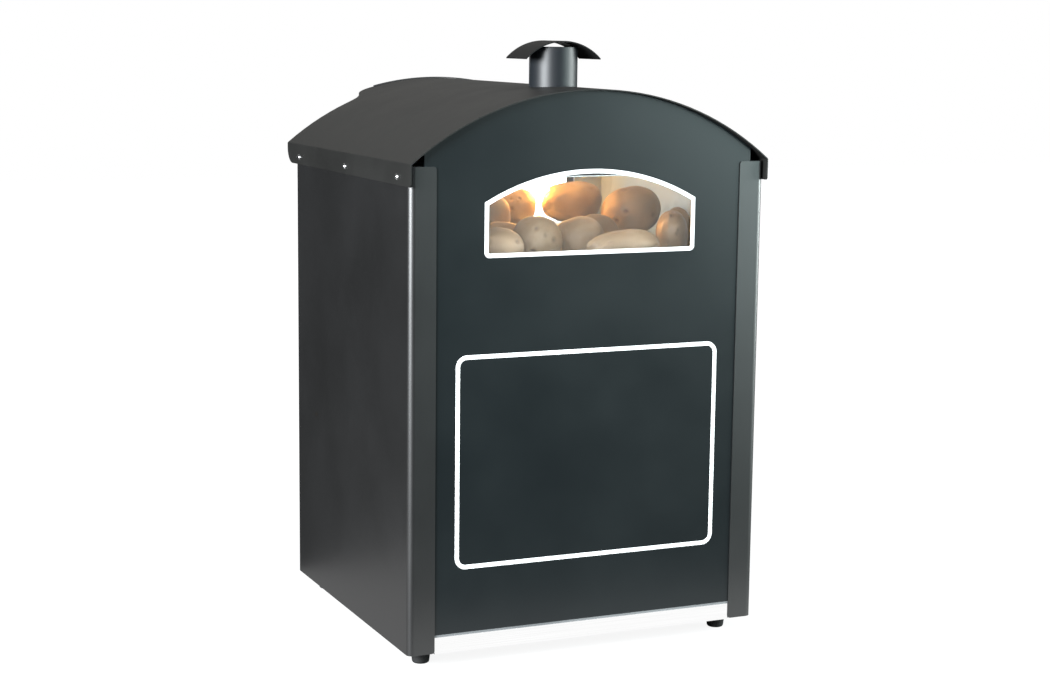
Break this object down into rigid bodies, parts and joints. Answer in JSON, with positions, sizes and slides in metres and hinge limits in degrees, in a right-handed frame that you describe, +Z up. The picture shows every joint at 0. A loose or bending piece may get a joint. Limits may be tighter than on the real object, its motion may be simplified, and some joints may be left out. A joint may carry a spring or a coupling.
{
  "type": "baked potato oven",
  "caption": "Counter-top potato oven with a heated display window, arched roof and small chimney, a board area in front, and an oven door, display door and controls at the rear.",
  "frame": {"origin": "on the counter, under the centre of the whole oven's bounding box", "axes": "+Z up, customer side faces -Y, operator doors face +Y, +X to the right seen from the front"},
  "size_m": [0.5082, 0.556, 0.7962],
  "materials": {
    "casing_paint": "fine textured powder coat",
    "roof_paint": "fine textured powder coat",
    "front_paint": "smooth satin",
    "print_white": "printed",
    "clear_glass": "polished",
    "polished_steel": "mirror polished",
    "bright_zinc": "bright plated",
    "stainless": "bright rolled",
    "zinc_sheet": "galvanised",
    "rubber": "matt",
    "edge_strip": "satin",
    "silicone": "matt",
    "mineral_wool": "fibrous",
    "element_sheath": "oxidised",
    "black_plastic": "moulded",
    "pilot_lens": "moulded",
    "porcelain": "glazed",
    "bulb_glass": "frosted",
    "magnet": "moulded",
    "handle_black": "moulded",
    "potato_skin": "washed skin"
  },
  "bodies": {
    "cabinet": {"base_pan": "zinc_sheet", "cable_gland": "black_plastic", "chimney_hat": "casing_paint", "chimney_pipe": "casing_paint", "control_panel": "stainless", "display_floor": "stainless", "display_liner": "stainless", "display_potatoes": "potato_skin", "display_rack": "stainless", "door_magnets": "magnet", "foot_front_left": "rubber", "foot_front_right": "rubber", "foot_rear_left": "rubber", "foot_rear_right": "rubber", "foot_screws": "bright_zinc", "front_panel": "front_paint", "heating_elements": "element_sheath", "hinge_leaves": "stainless", "hinge_pins": "bright_zinc", "hood_edge_trim": "rubber", "indicator_lamps": "pilot_lens", "lamp_bulb": "bulb_glass", "lamp_holder": "porcelain", "oven_bearers": "zinc_sheet", "oven_insulation": "mineral_wool", "oven_liner": "stainless", "panel_bottom_trim": "edge_strip", "panel_screws": "bright_zinc", "plinth_strip": "polished_steel", "rear_frame": "stainless", "rocker_housings": "black_plastic", "roof": "roof_paint", "roof_screws": "bright_zinc", "shelf_runner_left": "stainless", "shelf_runner_right": "stainless", "side_panel_left": "casing_paint", "side_panel_right": "casing_paint", "thermostat_body": "black_plastic", "timer_body": "black_plastic", "white_outlines": "print_white", "window_pane": "clear_glass", "window_retainer": "zinc_sheet", "wire_shelf_lower": "bright_zinc", "wire_shelf_middle": "bright_zinc", "wire_shelf_upper": "bright_zinc"},
    "oven_door": {"oven_door_skin": "casing_paint", "oven_door_liner": "stainless", "oven_door_insulation": "mineral_wool", "oven_door_seal": "silicone", "oven_door_handle": "handle_black", "oven_door_hinges": "stainless"},
    "display_door": {"display_door_frame": "casing_paint", "display_door_glass": "clear_glass", "display_door_seal": "silicone", "display_door_handle": "handle_black", "display_door_hinges": "stainless"},
    "thermostat_knob": {"thermostat_knob": "black_plastic"},
    "timer_knob": {"timer_knob": "black_plastic"},
    "oven_rocker": {"oven_rocker": "black_plastic"},
    "light_rocker": {"light_rocker": "black_plastic"}
  },
  "joints": [
    {"name": "oven_door_hinge", "type": "hinge", "parent": "cabinet", "child": "oven_door", "pos_m": [-0.221, 0.1887, 0.3079], "axis": [0, 0, 1], "range_deg": [0, 110]},
    {"name": "display_door_hinge", "type": "hinge", "parent": "cabinet", "child": "display_door", "pos_m": [-0.221, 0.1887, 0.567], "axis": [0, 0, 1], "range_deg": [0, 110]},
    {"name": "thermostat_turn", "type": "hinge", "parent": "cabinet", "child": "thermostat_knob", "pos_m": [-0.14, 0.182, 0.068], "axis": [0, 1, 0], "range_deg": [0, 270]},
    {"name": "timer_turn", "type": "hinge", "parent": "cabinet", "child": "timer_knob", "pos_m": [-0.07, 0.182, 0.068], "axis": [0, 1, 0], "range_deg": [0, 300]},
    {"name": "oven_switch", "type": "hinge", "parent": "cabinet", "child": "oven_rocker", "pos_m": [0.005, 0.182, 0.068], "axis": [1, 0, 0], "range_deg": [-18, 0]},
    {"name": "light_switch", "type": "hinge", "parent": "cabinet", "child": "light_rocker", "pos_m": [0.045, 0.182, 0.068], "axis": [1, 0, 0], "range_deg": [-18, 0]}
  ]
}
